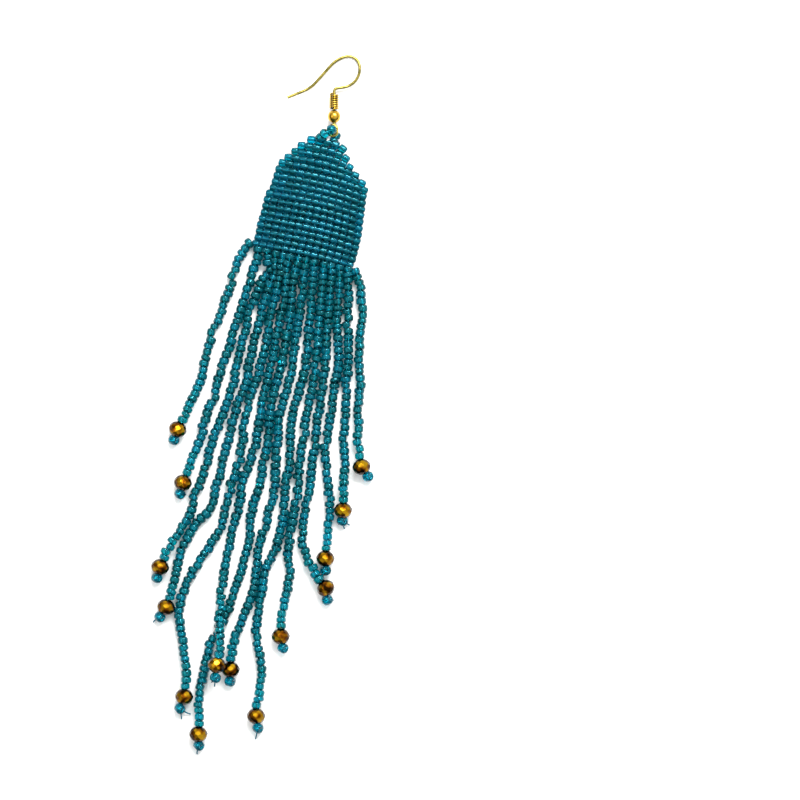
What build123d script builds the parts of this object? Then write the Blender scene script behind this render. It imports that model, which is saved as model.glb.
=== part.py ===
from build123d import *
from math import asin, cos, pi, radians, sin, sqrt, tan
import os

# Beaded earring lying flat on a table, in millimetres
# X runs to the right, Y from the fringe to the ear hook and Z up off the table

# Seed beads: the string that stands for a row of them, and its thread
SEED_DIAMETER = 1.7
THREAD_DIAMETER = 0.5
GAP = 0.15

# Woven cap: a band of seed beads that arches over the table
# The tucks are how much narrower than the belly its rim, waist and shoulder are
CAP_TURN = 12.5
RIM_X = 10.06
RIM_Y = 34.9
RIM_BOW = 0.4
BELLY_WIDTH = 24.3
BELLY_RISE = 5.1
RIM_TUCK = 0.5
WAIST_TUCK = 0.9
WAIST_RISE = 11.0
SHOULDER_TUCK = 2.7
SHOULDER_RISE = 18.4
SHOULDER_FILLET = 1.4
TOP_WIDTH = 8.4
CAP_HEIGHT = 25.4
TOP_SLANT = 0.8
TOP_SHIFT = 0.3
SLOPE_BULGE = 0.35
ARCH_RISE = 1.6

# Fringe, and the share of the shorter run that a bend's arc takes up
STRAND_PITCH = 1.9
ARC_SHARE = 0.45

# Faceted beads: a zigzag belt between two crowns, each with a ring of end facets round a flat end
RONDELLE_DIAMETER = 4.3
RONDELLE_LENGTH = 3.55
RONDELLE_HOLE = 1.0
FACETS = 10
BELT_LEAN = 16.0
CROWN_LEAN = 36.0
BELT_EDGE = 0.35
END_LEAN = 58.0
END_FACE = 0.75
TIP_DIAMETER = 1.95
TIP_LENGTH = 1.42

# Ear hook, drawn from the middle of its ball with Y up the shaft
WIRE_DIAMETER = 0.7
HOOK_RISE = 6.6
BALL_HEIGHT = 2.05
SHAFT_X = 0.05
SHAFT_TOP = 5.92
KINK_RADIUS = 0.75
KINK_TURN = 81.8
KINK_RUN = 1.49
BOW_RADIUS = 4.46
BOW_TURN = 93.6
CREST_RADIUS = 2.57
CREST_TURN = 91.9
BACK_RADIUS = 6.8
BACK_TURN = 35.0
BACK_RUN = 5.35
FLICK_RADIUS = 7.76
FLICK_TURN = 26.4
FREE_END = 4.0
EYE_X = -0.2
EYE_Y = -3.3
EYE_WIDTH = 1.82
EYE_LENGTH = 2.56
BALL_DIAMETER = 3.0
BALL_HOLE = 0.9
COIL_DIAMETER = 2.2
COIL_WIRE = 0.4
COIL_PITCH = 0.51
COIL_TURNS = 7

# Hanging loop: where its two legs leave the cap's top edge, and its bends from the eye's middle
FRONT_LEG = -2.3
BACK_LEG = 1.2
FRONT_BEND = (-1.9, -0.85, 1.3)
FRONT_TOP = (0.35, 0.6, 1.5)
BACK_BOTTOM = (1.5, -0.6, -1.45)
BACK_BEND = (0.95, -1.55, -1.3)
LOOP_THREAD = ((0.1, 0.15, 1.3), (0.05, -0.1, 0.0), (0.4, -0.4, -1.0), (1.3, -0.75, -1.45))

# Routes of the strands, first point below the rim: x, y and the lift of the string off the table
# The last two points lie along the faceted bead's axis, and their lift is the bead's own
STRAND_ROUTES = [
    [(-4.6, 34.8, 0), (-5.8, 31.6, 0), (-7.1, 27.1, 0), (-8.8, 21.7, 0), (-10.8, 17.1, 0), (-12.5, 11.7, 0),
     (-13.6, 6.4, 0), (-15.2, 1.9, 0.2), (-16.9, -1.9, 0), (-19.3, -6.5, 0)],
    [(-0.8, 33.4, 0.2), (-2.2, 28.9, 0), (-4.2, 23.4, 0), (-5.8, 18.3, 0), (-7.3, 12.4, 0), (-9.8, 6.2, 0),
     (-10.8, 1.0, 0), (-13.1, -3.6, 0), (-13.8, -8.5, 0), (-16.8, -15.0, 0), (-18.1, -18.9, 0)],
    [(1.1, 32.9, 0.4), (-0.5, 27.1, 0), (-2.5, 20.8, 0), (-4.2, 14.5, 0), (-5.3, 9.9, 0), (-6.1, 4.8, 0),
     (-8.0, -0.6, 0), (-10.7, -7.6, 0), (-12.1, -12.4, 0), (-13.5, -17.8, 0), (-15.4, -21.3, 0),
     (-16.1, -25.2, 0), (-18.6, -30.1, 0.3), (-21.7, -33.6, 0), (-23.4, -38.5, 0)],
    [(3.0, 32.2, 0.6), (1.6, 26.4, 0.1), (0.0, 20.3, 0), (-1.6, 14.1, 0), (-2.7, 9.0, 0), (-3.5, 3.6, 0),
     (-5.9, -1.7, 0), (-7.3, -8.3, 0), (-9.2, -15.2, 0), (-10.9, -22.4, 0), (-15.1, -28.0, 0),
     (-17.8, -32.7, 0), (-19.2, -37.5, 0.2), (-20.2, -42.9, 0), (-22.0, -47.8, 0)],
    [(4.9, 31.7, 0.8), (3.7, 25.9, 0.1), (2.3, 19.6, 0), (1.0, 13.4, 0), (0.0, 8.0, 0), (-2.1, 1.5, 0),
     (-3.7, -2.4, 0), (-3.9, -7.1, 0), (-4.8, -13.1, 0), (-6.6, -18.2, 0), (-8.2, -24.3, 0),
     (-9.6, -30.1, 0), (-12.9, -35.2, 0), (-15.7, -39.2, 0), (-18.0, -43.8, 0), (-19.2, -49.6, 0),
     (-18.4, -55.0, 0), (-17.8, -59.9, 0.4), (-16.9, -63.6, 0), (-17.8, -68.6, 0)],
    [(6.8, 31.3, 0.9), (5.8, 25.5, 0.2), (4.4, 19.4, 0), (3.3, 13.4, 0), (2.5, 7.8, 0), (0.4, 1.7, 0),
     (-0.3, -4.5, 0), (-1.3, -10.6, 0), (-2.9, -15.0, 0), (-4.6, -20.3, 0), (-5.0, -25.0, 0),
     (-7.0, -30.8, 0), (-7.9, -36.2, 0), (-8.9, -41.7, 0), (-9.2, -46.5, 0.6), (-9.8, -49.9, 1.9),
     (-9.3, -53.1, 2.4), (-9.1, -56.2, 2.2), (-10.1, -61.1, 2.9)],
    [(8.7, 30.8, 0.9), (7.6, 25.0, 0.2), (6.6, 19.0, 0), (5.7, 12.7, 0), (4.7, 7.3, 0), (2.8, 2.2, 0),
     (2.0, -4.1, 0), (1.5, -10.6, 0), (0.2, -16.2, 0), (-0.1, -20.1, 0), (-2.0, -23.1, 0),
     (-2.4, -28.9, 0), (-3.0, -34.5, 0), (-4.6, -39.2, 0), (-6.1, -44.5, 0), (-7.7, -49.2, 0),
     (-11.0, -54.5, 0), (-12.7, -59.2, 0), (-13.4, -64.1, 0), (-14.6, -68.7, 0.3), (-14.3, -72.2, 0),
     (-14.5, -77.3, 0)],
    [(10.6, 30.3, 0.9), (9.6, 24.5, 0.2), (8.7, 18.5, 0), (7.8, 12.4, 0), (7.1, 7.1, 0), (5.8, 1.3, 0),
     (4.0, -3.6, 0), (3.9, -9.6, 0), (3.2, -15.7, 0), (3.3, -20.6, 0), (2.0, -25.5, 0), (-0.1, -31.7, 0),
     (-0.9, -37.1, 0), (-1.5, -42.4, 0), (-2.5, -46.8, 0), (-4.3, -50.5, 0), (-5.8, -54.1, 0.3),
     (-6.8, -57.7, 0), (-7.0, -62.3, 0)],
    [(12.5, 29.9, 0.9), (11.7, 23.8, 0.2), (11.2, 18.0, 0), (10.8, 12.0, 0), (10.1, 5.7, 0), (7.6, -1.7, 0),
     (6.6, -6.9, 0), (7.0, -13.4, 0), (5.7, -18.5, 0), (5.6, -23.4, 0), (4.8, -29.6, 0), (3.4, -34.8, 0),
     (1.0, -38.5, 0), (0.5, -43.1, 0), (-0.8, -48.9, 0), (-1.3, -53.8, 0), (-0.2, -59.2, 0),
     (0.4, -64.3, 0.2), (-0.7, -67.9, 0), (-1.1, -73.1, 0)],
    [(14.6, 29.6, 0.8), (13.9, 23.4, 0.1), (13.4, 17.3, 0), (13.0, 11.0, 0), (12.3, 4.1, 0), (10.7, -3.4, 0),
     (9.5, -10.1, 0), (8.7, -16.6, 0), (8.3, -23.6, 0), (6.9, -30.1, 0), (6.2, -35.2, 0), (7.0, -40.3, 0),
     (5.5, -45.5, 0.2), (4.9, -49.4, 0), (4.6, -54.6, 0)],
    [(16.5, 29.2, 0.6), (15.9, 22.9, 0.1), (15.4, 16.9, 0), (15.2, 10.6, 0), (14.4, 3.4, 0), (13.2, -3.4, 0),
     (12.5, -9.6, 0), (11.6, -16.2, 0), (11.5, -20.8, 0), (10.4, -25.5, 0), (9.4, -32.0, 0),
     (10.5, -35.8, 0.2), (12.1, -39.3, 0), (15.1, -43.4, 0)],
    [(18.4, 28.7, 0.4), (18.0, 22.9, 0), (17.6, 17.6, 0), (18.1, 11.7, 0), (17.8, 6.9, 0), (16.6, 1.7, 0),
     (16.1, -4.1, 0), (14.8, -9.9, 0), (15.2, -15.2, 0), (15.7, -19.9, 0), (15.9, -24.1, 0),
     (15.8, -27.8, 0.3), (15.3, -31.3, 0), (15.0, -36.5, 0)],
    [(20.4, 28.3, 0.2), (20.2, 22.4, 0), (20.3, 16.4, 0), (20.5, 10.6, 0), (19.8, 4.3, 0), (19.8, -1.7, 0),
     (19.2, -7.1, 0), (19.5, -12.1, 0), (19.4, -16.3, 0.3), (19.2, -20.3, 0), (19.1, -25.3, 0)],
    [(22.8, 28.5, 0), (23.7, 22.9, 0), (23.4, 16.6, 0), (22.7, 11.7, 0), (23.3, 5.0, 0), (22.6, -0.6, 0),
     (22.7, -5.9, 0.2), (22.2, -10.5, 0), (23.4, -15.2, 0)],
]

# Worked-out values
seed_radius = SEED_DIAMETER / 2
wire_radius = WIRE_DIAMETER / 2
rondelle_radius = RONDELLE_DIAMETER / 2
half_belly = BELLY_WIDTH / 2
half_rim = (BELLY_WIDTH - RIM_TUCK) / 2
half_waist = (BELLY_WIDTH - WAIST_TUCK) / 2
half_shoulder = (BELLY_WIDTH - SHOULDER_TUCK) / 2
arch_radius = (half_belly**2 + ARCH_RISE**2) / (2 * ARCH_RISE)

# The cap's own plane: X along its rim, Y towards the hook
cap_plane = Plane(
    origin=(RIM_X, RIM_Y, 0),
    x_dir=(cos(radians(CAP_TURN)), -sin(radians(CAP_TURN)), 0),
    z_dir=(0, 0, 1),
)


def arch_height(across):
    """Height of the cap's underside off the table at a distance across from its middle line."""
    return sqrt(arch_radius**2 - across**2) - (arch_radius - ARCH_RISE)


def cap_middle(across, along):
    """Point in the middle of the cap's thickness."""
    return cap_plane.from_local_coords((across, along, seed_radius + max(arch_height(across), 0)))


def set_back(start, target, outward):
    """Start of a string towards target whose round end stays a gap clear of a flat wall at start."""
    direction = (target - start).normalized()
    facing = direction.dot(outward)
    sideways = sqrt(1 - facing**2)
    return start + direction * (GAP + seed_radius * sideways) / facing


def corner_radii(points):
    """Radius of the arc at each inner point, as large as its two runs allow."""
    radii = []
    for before, here, after in zip(points, points[1:], points[2:]):
        shorter = min((here - before).length, (after - here).length)
        half_turn = radians((here - before).get_angle(after - here) / 2)
        radii.append(ARC_SHARE * shorter / tan(half_turn))
    return radii


os.makedirs("parts", exist_ok=True)

# Woven cap: its outline, cut to the arched wall
top_left = (-TOP_WIDTH / 2 - TOP_SHIFT, CAP_HEIGHT + TOP_SLANT / 2)
top_right = (TOP_WIDTH / 2 - TOP_SHIFT, CAP_HEIGHT - TOP_SLANT / 2)
wall_margin = TOP_SLANT + RIM_BOW
wall_plane = Plane(
    origin=cap_plane.from_local_coords((0, CAP_HEIGHT + wall_margin, 0)),
    x_dir=cap_plane.x_dir,
    z_dir=-cap_plane.y_dir,
)

with BuildPart() as woven_cap:
    with BuildSketch(cap_plane) as outline:
        with BuildLine():
            ThreePointArc((-half_rim, 0), (0, -RIM_BOW), (half_rim, 0))
            ThreePointArc((half_rim, 0), (half_belly, BELLY_RISE), (half_waist, WAIST_RISE))
            Line((half_waist, WAIST_RISE), (half_shoulder, SHOULDER_RISE))
            SagittaArc((half_shoulder, SHOULDER_RISE), top_right, SLOPE_BULGE)
            Line(top_right, top_left)
            SagittaArc(top_left, (-half_shoulder, SHOULDER_RISE), -SLOPE_BULGE)
            Line((-half_shoulder, SHOULDER_RISE), (-half_waist, WAIST_RISE))
            ThreePointArc((-half_waist, WAIST_RISE), (-half_belly, BELLY_RISE), (-half_rim, 0))
        make_face()
        fillet(outline.vertices().group_by(Axis.Y)[2], SHOULDER_FILLET)
    extrude(amount=ARCH_RISE + SEED_DIAMETER + GAP)
    with BuildSketch(wall_plane):
        with Locations((0, ARCH_RISE - arch_radius)):
            Circle(arch_radius + SEED_DIAMETER)
            Circle(arch_radius, mode=Mode.SUBTRACT)
    extrude(amount=CAP_HEIGHT + 2 * wall_margin, mode=Mode.INTERSECT)
woven_cap.part.label = "woven_cap"
export_step(woven_cap.part, "parts/woven_cap.step")

# Faceted bead about its own Z axis, cut from a cylinder by its belt, crown and end planes
belt_cos = cos(radians(BELT_LEAN))
belt_sin = sin(radians(BELT_LEAN))
crown_cos = cos(radians(CROWN_LEAN))
crown_sin = sin(radians(CROWN_LEAN))
facet_step = 360 / FACETS
corner_cos = cos(radians(facet_step / 2))
belt_reach = rondelle_radius * belt_cos * (1 + corner_cos) / 2
belt_corner = belt_reach * (1 - corner_cos) / (1 + corner_cos) / belt_sin
crown_rise = belt_corner + BELT_EDGE
crown_foot = (belt_reach - crown_rise * belt_sin) / (belt_cos * corner_cos)
crown_reach = crown_foot * crown_cos + crown_rise * crown_sin
end_reach = (END_FACE + tan(radians(END_LEAN)) * RONDELLE_LENGTH / 2) * cos(radians(END_LEAN))


def facet_plane(turn, lean, reach):
    """Plane at a distance from the middle, facing outwards at a turn about Z and a lean up from level."""
    outward = Vector(cos(radians(turn)) * cos(radians(lean)), sin(radians(turn)) * cos(radians(lean)),
                     sin(radians(lean)))
    return Plane(origin=outward * reach, z_dir=outward)


with BuildPart() as faceted_bead:
    Cylinder(RONDELLE_DIAMETER, RONDELLE_LENGTH)
    for facet in range(FACETS):
        turn = facet * facet_step
        half_turn = turn + facet_step / 2
        split(bisect_by=facet_plane(half_turn, BELT_LEAN, belt_reach), keep=Keep.BOTTOM)
        split(bisect_by=facet_plane(turn, -BELT_LEAN, belt_reach), keep=Keep.BOTTOM)
        split(bisect_by=facet_plane(turn, CROWN_LEAN, crown_reach), keep=Keep.BOTTOM)
        split(bisect_by=facet_plane(half_turn, -CROWN_LEAN, crown_reach), keep=Keep.BOTTOM)
        split(bisect_by=facet_plane(half_turn, END_LEAN, end_reach), keep=Keep.BOTTOM)
        split(bisect_by=facet_plane(turn, -END_LEAN, end_reach), keep=Keep.BOTTOM)
    Hole(RONDELLE_HOLE / 2)

# Strands of the fringe, each with its faceted bead
rim_outward = -cap_plane.y_dir
middle_strand = (len(STRAND_ROUTES) - 1) / 2
for index, route in enumerate(STRAND_ROUTES):
    name = f"{index + 1:02d}"
    across = (index - middle_strand) * STRAND_PITCH
    rim_point = cap_middle(across, -RIM_BOW * (1 - (across / half_rim) ** 2))
    points = [Vector(x, y, seed_radius + lift) for x, y, lift in route[:-2]]
    points += [Vector(x, y, rondelle_radius + lift) for x, y, lift in route[-2:]]
    points.insert(0, set_back(rim_point, points[0], rim_outward))
    bead_middle = points[-1]
    axis = (points[-1] - points[-2]).normalized()
    points[-1] = bead_middle - axis * (RONDELLE_LENGTH / 2 + GAP)
    tip_start = bead_middle + axis * (RONDELLE_LENGTH / 2 + GAP)
    radii = corner_radii(points)

    with BuildPart() as strand:
        with BuildLine() as string_line:
            FilletPolyline(points, radius=radii)
        with BuildSketch(Plane(origin=points[0], z_dir=points[1] - points[0])):
            Circle(seed_radius)
        sweep()
        tube_volume = strand.part.volume
        with BuildSketch(Plane(origin=points[-1] - axis * GAP, z_dir=axis)):
            Circle(THREAD_DIAMETER / 2)
        extrude(amount=(tip_start - points[-1]).length + 2 * GAP)
        with BuildSketch(Plane(origin=tip_start, z_dir=axis)):
            Circle(TIP_DIAMETER / 2)
        extrude(amount=TIP_LENGTH)
    strand.part.label = "strand_" + name
    export_step(strand.part, f"parts/strand_{name}.step")
    length = sum(edge.length for edge in string_line.edges())
    section = pi * seed_radius**2
    print(f"strand_{name}: length {length:.1f}, volume {tube_volume:.1f} for {section * length:.1f}, "
          f"radii {min(radii):.1f} to {max(radii):.1f}")

    down = Vector(0, 0, -1)
    seat = Plane(origin=bead_middle, x_dir=down - axis * down.dot(axis), z_dir=axis)
    with BuildPart() as rondelle:
        with Locations(seat):
            add(faceted_bead.part)
    rondelle.part.label = "rondelle_" + name
    export_step(rondelle.part, f"parts/rondelle_{name}.step")

# Ear hook, drawn flat about the ball's middle
eye_round = EYE_WIDTH / 2
eye_straight = EYE_LENGTH - EYE_WIDTH
neck = EYE_Y + eye_straight / 2 + sqrt(eye_round**2 - (SHAFT_X - EYE_X) ** 2)

with BuildPart() as flat_hook:
    with BuildLine() as hook_line:
        shaft = Line((SHAFT_X, neck), (SHAFT_X, SHAFT_TOP))
        kink = JernArc(shaft @ 1, shaft % 1, KINK_RADIUS, -KINK_TURN)
        kink_run = PolarLine(kink @ 1, KINK_RUN, direction=kink % 1)
        bow = JernArc(kink_run @ 1, kink_run % 1, BOW_RADIUS, BOW_TURN)
        crest = JernArc(bow @ 1, bow % 1, CREST_RADIUS, CREST_TURN)
        back = JernArc(crest @ 1, crest % 1, BACK_RADIUS, BACK_TURN)
        back_run = PolarLine(back @ 1, BACK_RUN, direction=back % 1)
        flick = JernArc(back_run @ 1, back_run % 1, FLICK_RADIUS, -FLICK_TURN)
        free_end = PolarLine(flick @ 1, FREE_END, direction=flick % 1)
    with BuildSketch(Plane(origin=shaft @ 0, z_dir=shaft % 0)):
        Circle(wire_radius)
    sweep()
    with BuildLine():
        right = Line((EYE_X + eye_round, EYE_Y - eye_straight / 2), (EYE_X + eye_round, EYE_Y + eye_straight / 2))
        over = JernArc(right @ 1, right % 1, eye_round, 180)
        left = Line(over @ 1, (EYE_X - eye_round, EYE_Y - eye_straight / 2))
        JernArc(left @ 1, left % 1, eye_round, 180)
    with BuildSketch(Plane(origin=right @ 0, z_dir=right % 0)):
        Circle(wire_radius)
    sweep()

# The hook leans down from the ball until its crest lies on the table
crest_height = flat_hook.part.bounding_box().max.Y - wire_radius
lean = asin((BALL_HEIGHT - wire_radius) / crest_height)
hook_place = cap_plane.from_local_coords((0, CAP_HEIGHT + HOOK_RISE, BALL_HEIGHT))
hook_plane = Plane(origin=hook_place, x_dir=(1, 0, 0), z_dir=(0, sin(lean), cos(lean)))

with BuildPart() as ear_hook:
    with Locations(hook_plane):
        add(flat_hook.part)
ear_hook.part.label = "ear_hook"
export_step(ear_hook.part, "parts/ear_hook.step")

# Drilled ball on the shaft
shaft_plane = Plane(
    origin=hook_plane.from_local_coords((SHAFT_X, 0, 0)),
    x_dir=hook_plane.x_dir,
    z_dir=hook_plane.y_dir,
)

with BuildPart() as hook_ball:
    with Locations(shaft_plane):
        Sphere(BALL_DIAMETER / 2)
        Hole(BALL_HOLE / 2)
hook_ball.part.label = "hook_ball"
export_step(hook_ball.part, "parts/hook_ball.step")

# Coil of fine wire on the shaft, just above the ball
coil_start = shaft_plane.from_local_coords((0, 0, BALL_DIAMETER / 2 + GAP / 2 + COIL_WIRE / 2))

with BuildPart() as hook_coil:
    with BuildLine() as coil_line:
        Helix(COIL_PITCH, COIL_PITCH * COIL_TURNS, (COIL_DIAMETER - COIL_WIRE) / 2, center=coil_start,
              direction=shaft_plane.z_dir)
    with BuildSketch(Plane(origin=coil_line.line @ 0, z_dir=coil_line.line % 0)):
        Circle(COIL_WIRE / 2)
    sweep(is_frenet=True)
hook_coil.part.label = "hook_coil"
export_step(hook_coil.part, "parts/hook_coil.step")

# Hanging loop: a front leg up over the eye, thread down through it and a back leg below it
eye_middle = hook_plane.from_local_coords((EYE_X, EYE_Y, 0))
top_outward = cap_plane.y_dir


def top_edge(across):
    """Point in the middle of the cap's top edge."""
    share = (across - top_left[0]) / TOP_WIDTH
    return cap_middle(across, top_left[1] - TOP_SLANT * share)


front_points = [eye_middle + Vector(FRONT_BEND), eye_middle + Vector(FRONT_TOP)]
front_points.insert(0, set_back(top_edge(FRONT_LEG), front_points[0], top_outward))
back_points = [eye_middle + Vector(BACK_BEND), eye_middle + Vector(BACK_BOTTOM)]
back_points.insert(0, set_back(top_edge(BACK_LEG), back_points[0], top_outward))
thread_points = [eye_middle + Vector(offset) for offset in LOOP_THREAD]

with BuildPart() as hanging_loop:
    for leg_points, leg_radius in (
        (front_points, seed_radius),
        (back_points, seed_radius),
        (thread_points, THREAD_DIAMETER / 2),
    ):
        with BuildLine():
            FilletPolyline(leg_points, radius=corner_radii(leg_points))
        with BuildSketch(Plane(origin=leg_points[0], z_dir=leg_points[1] - leg_points[0])):
            Circle(leg_radius)
        sweep()
hanging_loop.part.label = "hanging_loop"
export_step(hanging_loop.part, "parts/hanging_loop.step")
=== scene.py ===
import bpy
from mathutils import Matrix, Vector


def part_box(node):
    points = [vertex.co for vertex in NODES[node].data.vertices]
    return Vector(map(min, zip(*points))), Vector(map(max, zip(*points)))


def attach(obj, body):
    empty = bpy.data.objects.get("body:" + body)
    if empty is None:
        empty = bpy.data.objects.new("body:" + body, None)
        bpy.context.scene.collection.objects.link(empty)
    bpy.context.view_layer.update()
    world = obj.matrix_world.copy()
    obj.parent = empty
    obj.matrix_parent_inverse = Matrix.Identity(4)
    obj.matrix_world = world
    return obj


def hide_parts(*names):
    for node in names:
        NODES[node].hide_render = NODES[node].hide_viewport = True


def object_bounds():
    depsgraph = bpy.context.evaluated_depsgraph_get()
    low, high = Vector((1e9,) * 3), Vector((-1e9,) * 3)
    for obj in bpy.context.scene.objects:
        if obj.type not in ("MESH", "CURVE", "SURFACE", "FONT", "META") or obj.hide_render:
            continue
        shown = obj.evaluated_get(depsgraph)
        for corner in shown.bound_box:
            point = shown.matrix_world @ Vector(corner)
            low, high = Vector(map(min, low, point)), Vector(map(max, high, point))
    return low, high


bl_info = {
    "name": "Beaded Earring",
    "version": (1, 0, 0),
    "blender": (4, 5, 0),
    "location": "View3D > Sidebar > Earring",
    "description": "Dresses a fringed seed-bead earring on a table: beads, thread, plated wire, coated glass",
    "category": "Object",
}

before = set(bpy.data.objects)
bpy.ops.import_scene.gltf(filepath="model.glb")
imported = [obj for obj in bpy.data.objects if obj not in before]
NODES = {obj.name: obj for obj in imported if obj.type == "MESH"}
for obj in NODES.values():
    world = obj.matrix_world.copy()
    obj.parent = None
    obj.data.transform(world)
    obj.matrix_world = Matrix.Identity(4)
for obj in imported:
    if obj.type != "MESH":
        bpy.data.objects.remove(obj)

import math
import random
from bisect import bisect_right
from itertools import accumulate

import bmesh
import bpy
from bpy.props import FloatProperty, FloatVectorProperty, IntProperty, PointerProperty
from mathutils import Matrix, Vector

CAD_LOW, CAD_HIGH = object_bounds()

# Cap plane of the part: the middle of its rim, X along the rim and Y towards the hook
CAP_ORIGIN = Vector((0.01006, 0.0349, 0))
CAP_TURN = math.radians(12.5)
# The cap's underside arches over the table: half its span, its rise and the arc's radius
HALF_BELLY = 0.01215
ARCH_RISE = 0.0016
ARCH_RADIUS = (HALF_BELLY**2 + ARCH_RISE**2) / (2 * ARCH_RISE)

# Rows of the cap from the top down: place above the rim, left end, right end and the right end's droop
CAP_ROWS = [
    (0.02583, -0.0049, 0.00458, 0.0011), (0.02405, -0.0068, 0.00575, 0.0013),
    (0.0224, -0.0079, 0.007, 0.0014), (0.02078, -0.0092, 0.0087, 0.0013),
    (0.0192, -0.01026, 0.0106, 0.001), (0.0176, -0.01065, 0.0114, 0.0008),
    (0.01606, -0.01077, 0.01144, 0.0008), (0.01455, -0.01088, 0.01155, 0.0008),
    (0.0131, -0.011, 0.01167, 0.0008), (0.01164, -0.01158, 0.01183, 0.0008),
    (0.01013, -0.0118, 0.01197, 0.0008), (0.00857, -0.0118, 0.01213, 0.0008),
    (0.00703, -0.0118, 0.01225, 0.0007), (0.00555, -0.01193, 0.01225, 0.0007),
    (0.00407, -0.01205, 0.01225, 0.0007), (0.00255, -0.01193, 0.0122, 0.0006),
    (0.00105, -0.01193, 0.01213, 0.0005), (-0.00045, -0.01216, 0.0119, 0.0004),
]
LEFT_DROOP = 0.00025

# Height of the middle of the cap's beads off its underside, with the ranges that chance picks from
CAP_MIDDLE = 0.00085
CAP_LIFTS = (-0.00005, 0.00008)
CAP_LENGTHS = (0.97, 1.03)
CAP_WIDTHS = (0.94, 1.05)
CAP_TILT = 0.07
# Width of a cap bead as a share of the rows' spacing, unless that is less than its diameter
CAP_FILL = 1.08

# Cap threads lie this far above and below the beads' middle, and wefts also at it; warps only in lower rows
CAP_THREAD_OFFSET = 0.0004
WEFT_STEPS = 12
WARP_ROWS = 13
WARP_COLUMNS = 13
WARP_RADIUS = 0.0001

# The coil's axis dips with the hook's shaft; its plating darkens with painted shade in the grooves, between
# these distances from it
COIL_AXIS = Vector((0, 0.994, -0.107))
GROOVE_TOP, GROOVE_BOTTOM = 0.00105, 0.00095

# Where the strands start: how far apart, and how far below the cap's rim, the first one less far
STRAND_PITCH = 0.0019
STRAND_START, FIRST_STRAND_START = 0.0012, 0.0004
# Steps of the thread along a strand
THREAD_STEPS = 40

# Bare thread from the last seed bead to the faceted bead's middle, and the share of its room a bead fills
BARE_END = 0.00178
BEAD_FILL = 0.98
BEAD_TILT = 0.13
# Widths of the beads as shares of their diameter, and how far a loose bead sits beside its row
BEAD_WIDTHS = (0.88, 1.06)
LOOSE_WIDTH = 0.84
LOOSE_SHIFTS = (0.0003, 0.0005)
# Share of a bead's length that is straight: rounded in the fringe, more like a tube in the cap
ROUND_BEAD, TUBE_BEAD = 0.35, 0.66

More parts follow.
